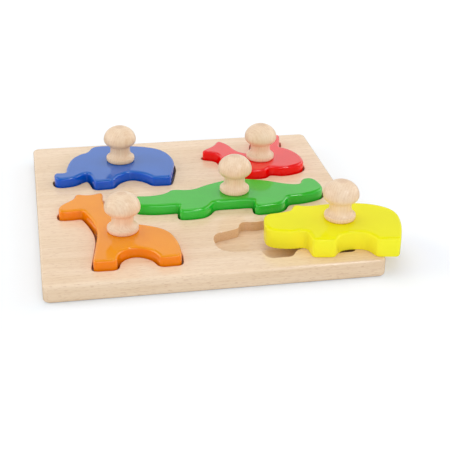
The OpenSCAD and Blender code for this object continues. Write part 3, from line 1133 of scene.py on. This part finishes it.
@dataclass
class Studio:
    """A plain white floor, soft light from above and from all sides, and the camera.

    The camera's and its target's places are in millimetres. The floor's own sizes are in metres.
    """

    target: Place = (20.51, -21.72, 0.0)
    azimuth: float = -10.99
    elevation: float = 26.8
    roll: float = 0.92
    distance: float = 766.55
    lens: float = 84.69
    clip: Range = (0.01, 50.0)
    lamps: tuple[Lamp, ...] = (
        Lamp("overhead_behind", (0.0, 0.5, 1.5), 1.2, 5.5),
        Lamp("front_fill", (0.1, -1.5, 0.6), 1.2, 7.0),
        Lamp("left_side", (-1.2, 0.2, 0.5), 1.0, 4.5),
        Lamp("right_side", (1.2, 0.2, 0.5), 1.0, 4.0),
        Lamp("front_edge_glint", (0.42, -0.55, 0.88), 0.35, 3.6, glint=True),
    )
    floor_side: float = 12.0
    floor_colour: Colour = (0.775, 0.792, 0.808)
    # painted cool tint close to the puzzle, against the warm light that the wood throws on it
    floor_cool: Colour = (0.705, 0.775, 0.845)
    # painted shadow beside the animal that lies past the board's edge
    floor_shade: Colour = (0.73, 0.755, 0.828)
    floor_shade_centre: Place = (0.135, -0.085, 0.0)
    floor_shade_range: Range = (0.018, 0.045)
    floor_cool_range: Range = (-0.0125, 0.0145)
    floor_drop: float = 0.0001
    floor_lift: Range = (0.215, 0.75)
    floor_lift_reach: float = 0.4
    # painted shade in reflections: gloss sees the floor greyer than it is lit
    floor_mirrored_shade: Colour = (0.4, 0.4, 0.4)
    sky_level: float = 0.6
    dark_level: float = 0.25
    backdrop_range: Range = (0.42, 0.62)

    def build_camera(self) -> None:
        """Sets the camera where the photographer's was."""
        azimuth, elevation, roll = (math.radians(a) for a in (self.azimuth, self.elevation, self.roll))
        flat = math.cos(elevation)
        back = Vector((math.sin(azimuth) * flat, -math.cos(azimuth) * flat, math.sin(elevation)))
        level = Vector((math.cos(azimuth), math.sin(azimuth), 0.0))
        upward = back.cross(level)
        right = level * math.cos(roll) + upward * math.sin(roll)
        up = upward * math.cos(roll) - level * math.sin(roll)
        camera = bpy.data.objects.new("camera", bpy.data.cameras.new("camera"))
        bpy.context.scene.collection.objects.link(camera)
        camera.data.lens = self.lens
        camera.data.clip_start, camera.data.clip_end = self.clip
        place = (Vector(self.target) + back * self.distance) * MM
        camera.matrix_world = Matrix.Translation(place) @ Matrix((right, up, back)).transposed().to_4x4()
        bpy.context.scene.camera = camera

    def build_floor(self) -> None:
        """Lays a white floor that keeps the shadows.

        It is painted a little cool close to the puzzle, against the warm light that the wood throws on
        it, and carries a painted shadow, a little darker and cooler, beside the animal that lies past the
        board's edge. Gloss sees it grey, a painted shade in the reflections. What the camera sees of it
        brightens to the white of the background further out.
        """
        bm = bmesh.new()
        bmesh.ops.create_grid(bm, x_segments=1, y_segments=1, size=self.floor_side / 2)
        bmesh.ops.translate(bm, verts=bm.verts, vec=(0.0, 0.0, -self.floor_drop))
        floor = finished(bm, "floor")
        material = bpy.data.materials.new("white_paper")
        sheet = blank_sheet(material)
        path = sheet.add("ShaderNodeLightPath")
        coordinates = sheet.add("ShaderNodeTexCoord").outputs["Object"]
        board_reach = CAD_BOX[1][1]
        gap = sheet.math("SUBTRACT", sheet.from_middle(sheet.split(coordinates)), board_reach)
        # Painted cool tint close to the puzzle, against the wood's warm bounce light.
        plain = sheet.ramped(gap, *self.floor_cool_range)
        lift = sheet.ramped(gap, 0.0, self.floor_lift_reach, self.floor_lift)
        # Painted shadow beside the lying animal: the floor turns darker and cooler round
        # floor_shade_centre.
        far = sheet.add("ShaderNodeVectorMath", operation="DISTANCE")
        sheet.feed(far.inputs[0], coordinates)
        far.inputs[1].default_value = self.floor_shade_centre
        beyond = sheet.ramped(far.outputs["Value"], *self.floor_shade_range)
        open_floor = sheet.mixed(beyond, self.floor_shade, self.floor_colour)
        direct = sheet.mixed(plain, self.floor_cool, open_floor)
        # Painted shade in reflections: glossy rays see a grey floor.
        colour = sheet.mixed(path.outputs["Is Glossy Ray"], direct, self.floor_mirrored_shade)
        paper = sheet.put(sheet.add("ShaderNodeBsdfDiffuse"), Color=colour)
        glow = sheet.add("ShaderNodeEmission")
        sheet.put(glow, Strength=sheet.math("MULTIPLY", path.outputs["Is Camera Ray"], lift))
        both = sheet.add("ShaderNodeAddShader")
        sheet.feed(both.inputs[0], paper.outputs["BSDF"])
        sheet.feed(both.inputs[1], glow.outputs["Emission"])
        sheet.put(sheet.add("ShaderNodeOutputMaterial"), Surface=both.outputs["Shader"])
        floor.data.materials.append(material)

    def build_sky(self) -> None:
        """Makes the surroundings white where they are seen, and a soft grey where they give light.

        Gloss mirrors a low white backdrop round the puzzle, with the darker studio above it.
        """
        world = bpy.data.worlds.new("studio")
        sheet = blank_sheet(world)
        path = sheet.add("ShaderNodeLightPath")
        seen = sheet.math("MAXIMUM", path.outputs["Is Camera Ray"], path.outputs["Is Transmission Ray"])
        given = sheet.ramped(seen, 0.0, 1.0, (self.sky_level, 1.0))
        direction = sheet.split(sheet.add("ShaderNodeTexCoord").outputs["Generated"])
        low = sheet.ramped(direction["Z"], *self.backdrop_range, (1.0, 0.0))
        mirrored = sheet.ramped(low, 0.0, 1.0, (self.dark_level, 1.0))
        gloss = path.outputs["Is Glossy Ray"]
        level = sheet.math(
            "ADD",
            sheet.math("MULTIPLY", given, sheet.math("SUBTRACT", 1.0, gloss)),
            sheet.math("MULTIPLY", mirrored, gloss),
        )
        sky = sheet.put(sheet.add("ShaderNodeBackground"), Color=(*WHITE, 1.0), Strength=level)
        sheet.put(sheet.add("ShaderNodeOutputWorld"), Surface=sky.outputs["Background"])
        bpy.context.scene.world = world

    def build(self) -> None:
        """Sets up the camera, the floor, the surroundings, the lamps and the plain view transform."""
        self.build_camera()
        self.build_floor()
        self.build_sky()
        for lamp in self.lamps:
            lamp.hang()
        bpy.context.scene.view_settings.view_transform = "Standard"


ELEPHANT_CORNERS = (
    (-0.005, 0.3, 0.85), (0.095, 0.285, 0.5), (0.11, 0.465, 1), (0.155, 0.675, 1),
    (0.235, 0.79, 0.8), (0.295, 0.825, 0.8), (0.35, 1, 0.9), (0.52, 0.995, 1),
    (0.76, 0.93, 1), (0.94, 0.795, 1), (1.015, 0.495, 1), (0.975, 0.23, 1),
    (0.93, 0.005, 0.42), (0.79, 0.015, 0.45), (0.735, 0.13, 1), (0.63, 0.22, 1),
    (0.52, 0.15, 1), (0.46, 0.005, 0.45), (0.315, 0, 0.45), (0.285, 0.245, 1),
    (0.23, 0.23, 1), (0.155, 0.125, 1), (0.01, 0.11, 0.9),
)
FISH_CORNERS = (
    (0.195, 0.92, 1), (0.295, 0.79, 1), (0.34, 0.595, 1), (0.405, 0.515, 1),
    (0.495, 0.465, 1), (0.54, 0.745, 0.9), (0.595, 0.99, 0.55), (0.915, 1.005, 0.6),
    (0.875, 0.805, 0.9), (0.83, 0.63, 0.5), (0.94, 0.525, 1), (1.01, 0.315, 1),
    (0.99, 0.115, 1), (0.765, 0.02, 1), (0.61, 0.085, 0.8), (0.54, 0, 0.6),
    (0.36, 0, 0.9), (0.235, 0.13, 1), (0.15, 0.345, 1), (0.135, 0.54, 0.8),
    (-0.055, 0.62, 0.95), (0.125, 0.76, 0.8),
)
CROCODILE_CORNERS = (
    (0, 0.625, 0.7), (0.09, 0.585, 1), (0.17, 0.65, 1), (0.205, 0.78, 0.9),
    (0.305, 0.7, 1), (0.395, 0.87, 1), (0.545, 1.035, 1), (0.705, 0.92, 1),
    (0.815, 0.715, 1), (0.89, 0.665, 0.8), (0.915, 0.865, 0.9), (0.98, 0.875, 1),
    (1.005, 0.59, 1), (0.99, 0.4, 1), (0.89, 0.28, 1), (0.79, 0.26, 0.5),
    (0.75, 0.05, 0.9), (0.67, 0, 1), (0.6, 0.005, 0.75), (0.61, 0.25, 0.5),
    (0.4, 0.255, 0.4), (0.35, 0.03, 0.95), (0.275, -0.005, 1), (0.21, 0.01, 0.75),
    (0.22, 0.235, 0.5), (0.095, 0.225, 1), (0.005, 0.295, 0.5),
)
GIRAFFE_CORNERS = (
    (0.18, 1.01, 0.85), (0.305, 0.97, 1), (0.44, 1.015, 0.95), (0.42, 0.895, 1),
    (0.45, 0.7, 1), (0.55, 0.52, 1), (0.795, 0.45, 1), (0.955, 0.355, 1),
    (1.005, 0.17, 1), (0.99, 0, 0.5), (0.81, 0, 0.45), (0.76, 0.1, 1),
    (0.615, 0.165, 1), (0.475, 0.11, 1), (0.44, 0, 0.5), (0.24, 0.005, 0.45),
    (0.285, 0.205, 1), (0.33, 0.42, 1), (0.29, 0.6, 1), (0.225, 0.745, 0.5),
    (0.085, 0.735, 0.9), (0.01, 0.745, 0.8), (0.01, 0.835, 1), (0.155, 0.925, 0.9),
)
HIPPO_CORNERS = (
    (-0.005, 0.465, 1), (0.01, 0.685, 1), (0.12, 0.725, 0.9), (0.21, 0.79, 0.6),
    (0.245, 0.96, 0.9), (0.34, 0.905, 1), (0.5, 0.98, 1), (0.69, 1.01, 1),
    (0.865, 0.955, 1), (0.995, 0.78, 1), (1.005, 0.445, 1), (0.95, 0.005, 0.36),
    (0.79, 0.005, 0.4), (0.735, 0.18, 1), (0.645, 0.205, 1), (0.54, 0.16, 0.9),
    (0.485, 0, 0.42), (0.33, 0, 0.45), (0.3, 0.245, 0.5), (0.155, 0.21, 1),
    (0.02, 0.265, 1),
)


def lacquer(colour: str, face: str, deep: str, side: str, **coats: object) -> LacquerFinish:
    """Mixes a lacquer.

    Args:
        colour: The colour's plain name.
        face: The display colour of the animal's face.
        deep: The display colour where the face's coat is deeper.
        side: The display colour of its sides: painted light, mostly brighter than the face.
        coats: The finish's other values.

    Returns:
        The lacquer.
    """
    return LacquerFinish(f"{colour}_gloss", f"{colour}_lacquer", rgb(face), rgb(deep), rgb(side), **coats)


def animal_set() -> list[Animal]:
    """Describes the five animals.

    Returns:
        The animals, each with its box, its corners and its lacquer.
    """
    murky_blue = (0.08, 0.08, 0.2)
    # The third colour of each lacquer is its sides': painted light, mostly brighter than the face.
    blue = lacquer(
        "blue", "1463C2", "125FBA", "0758D6", gloss=0.39, coat=0.37, side_coat=0.0, thrown=murky_blue
    )
    red = lacquer("red", "F20F0F", "EB0D0D", "FC0202", gloss=0.29, coat=0.64, side_coat=0.0)
    green = lacquer(
        "green", "32BD24", "2FB722", "26C634", gloss=0.45, coat=0.15, thrown=(0.3, 0.5, 0.06)
    )
    orange = lacquer("orange", "F49805", "F09205", "F98702", gloss=0.4, coat=0.0)
    yellow = lacquer(
        "yellow", "F1EC0E", "EEE90D", "FDF836", gloss=0.09, coat=0.0, thrown=(1.0, 0.76, 0.01)
    )
    return [
        Animal(Species.ELEPHANT, 92.4, 68.2, (-98.2, 26.3), (0.561, 0.537), ELEPHANT_CORNERS, blue),
        Animal(Species.FISH, 73.9, 69.8, (20.5, 27.9), (0.558, 0.341), FISH_CORNERS, red),
        Animal(Species.CROCODILE, 139.4, 48.4, (-43.3, -33.0), (0.527, 0.564), CROCODILE_CORNERS, green),
        Animal(Species.GIRAFFE, 77.2, 103.5, (-98.4, -97.4), (0.545, 0.395), GIRAFFE_CORNERS, orange),
        Animal(Species.HIPPO, 93.2, 55.5, (5.6, -96.8), (0.556, 0.561), HIPPO_CORNERS, yellow),
    ]


def main() -> None:
    """Builds the studio and the puzzle."""
    logging.basicConfig(level=logging.INFO, format="%(name)s: %(message)s")
    Studio().build()
    board_beech = BeechFinish(
        "board_beech_oiled",
        "board_beech",
        Grain.ALONG_X,
        pale=rgb("F7DFC3"),
        warm=rgb("E9CCA9"),
        fleck=rgb("C08F6A"),
        band_strength=0.6,
        fibre_strength=0.5,
        fleck_strength=0.3,
        smooth=0.13,
        rough=0.22,
        # painted shade on the pockets' walls
        pocket_wall_shade_strength=1.0,
    )
    knob_beech = BeechFinish(
        "knob_beech_oiled",
        "knob_beech",
        Grain.ALONG_Z,
        pale=rgb("F8E1C5"),
        warm=rgb("E9C9A7"),
        fleck=rgb("C79B78"),
        band_strength=0.6,
        ring_strength=0.24,
        fleck_strength=0.24,
        smooth=0.28,
        rough=0.38,
        seed=3.7,
    )
    puzzle = PegPuzzle(Board(board_beech), knob_beech, animal_set())
    for piece in puzzle.build():
        log.info("%s: %d faces", piece.name, len(piece.data.polygons))


if __name__ == "__main__":
    main()
